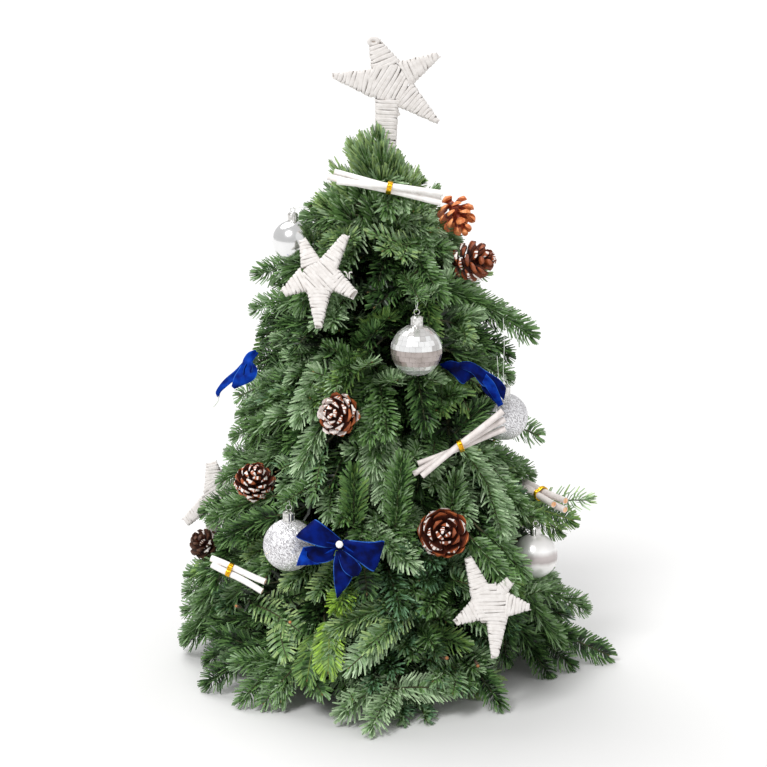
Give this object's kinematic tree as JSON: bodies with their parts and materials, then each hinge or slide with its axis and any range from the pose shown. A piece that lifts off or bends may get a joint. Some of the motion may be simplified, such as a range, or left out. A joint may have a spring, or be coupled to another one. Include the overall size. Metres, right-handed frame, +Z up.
{
  "type": "christmas tree",
  "caption": "Small cut fir tree for a table top, on a plain crossed wooden stand, with star, baubles, cones and bows.",
  "frame": {"origin": "centre of the stand's flat underside, where the two planks cross under the trunk", "axes": "+Z up the trunk, -Y towards the viewer of the picture, +X to the right"},
  "size_m": [0.5187, 0.4686, 0.7654],
  "materials": {
    "needles": "flat comb-like fir needles, grey-green bloom, slightly waxy",
    "bark": "rough grey-brown bark with small scars",
    "stand_wood": "sawn pale softwood, oiled",
    "paper_cord": "matt white paper cord, wound",
    "velvet": "deep blue velvet ribbon",
    "silver": "silvered, shiny, satin, faceted or glittered",
    "cone_scale": "dry brown cone scales with white frosted edges",
    "white_stick": "peeled sticks painted matt white",
    "gold_wire": "thin bright gold wire",
    "pearl": "pearly white bead"
  },
  "bodies": {
    "root": {"bough_high_1": "bark", "bough_high_2": "bark", "bough_high_3": "bark", "bough_high_4": "bark", "bough_high_5": "bark", "bough_low_1": "bark", "bough_low_2": "bark", "bough_low_3": "bark", "bough_low_4": "bark", "bough_low_5": "bark", "bough_low_6": "bark", "bough_middle_1": "bark", "bough_middle_2": "bark", "bough_middle_3": "bark", "bough_middle_4": "bark", "bough_middle_5": "bark", "bough_skirt_1": "bark", "bough_skirt_2": "bark", "bough_skirt_3": "bark", "bough_skirt_4": "bark", "bough_skirt_5": "bark", "bough_skirt_6": "bark", "bough_skirt_7": "bark", "bough_upper_1": "bark", "bough_upper_2": "bark", "bough_upper_3": "bark", "bough_upper_4": "bark", "spray_high_1": "needles", "spray_high_2": "needles", "spray_high_3": "needles", "spray_high_4": "needles", "spray_high_5": "needles", "spray_leader": "needles", "spray_low_1": "needles", "spray_low_2": "needles", "spray_low_3": "needles", "spray_low_4": "needles", "spray_low_5": "needles", "spray_low_6": "needles", "spray_middle_1": "needles", "spray_middle_2": "needles", "spray_middle_3": "needles", "spray_middle_4": "needles", "spray_middle_5": "needles", "spray_skirt_1": "needles", "spray_skirt_2": "needles", "spray_skirt_3": "needles", "spray_skirt_4": "needles", "spray_skirt_5": "needles", "spray_skirt_6": "needles", "spray_skirt_7": "needles", "spray_upper_1": "needles", "spray_upper_2": "needles", "spray_upper_3": "needles", "spray_upper_4": "needles", "stand_plank_lower": "stand_wood", "stand_plank_upper": "stand_wood", "top_star": "paper_cord", "trunk": "bark"}
  },
  "joints": []
}
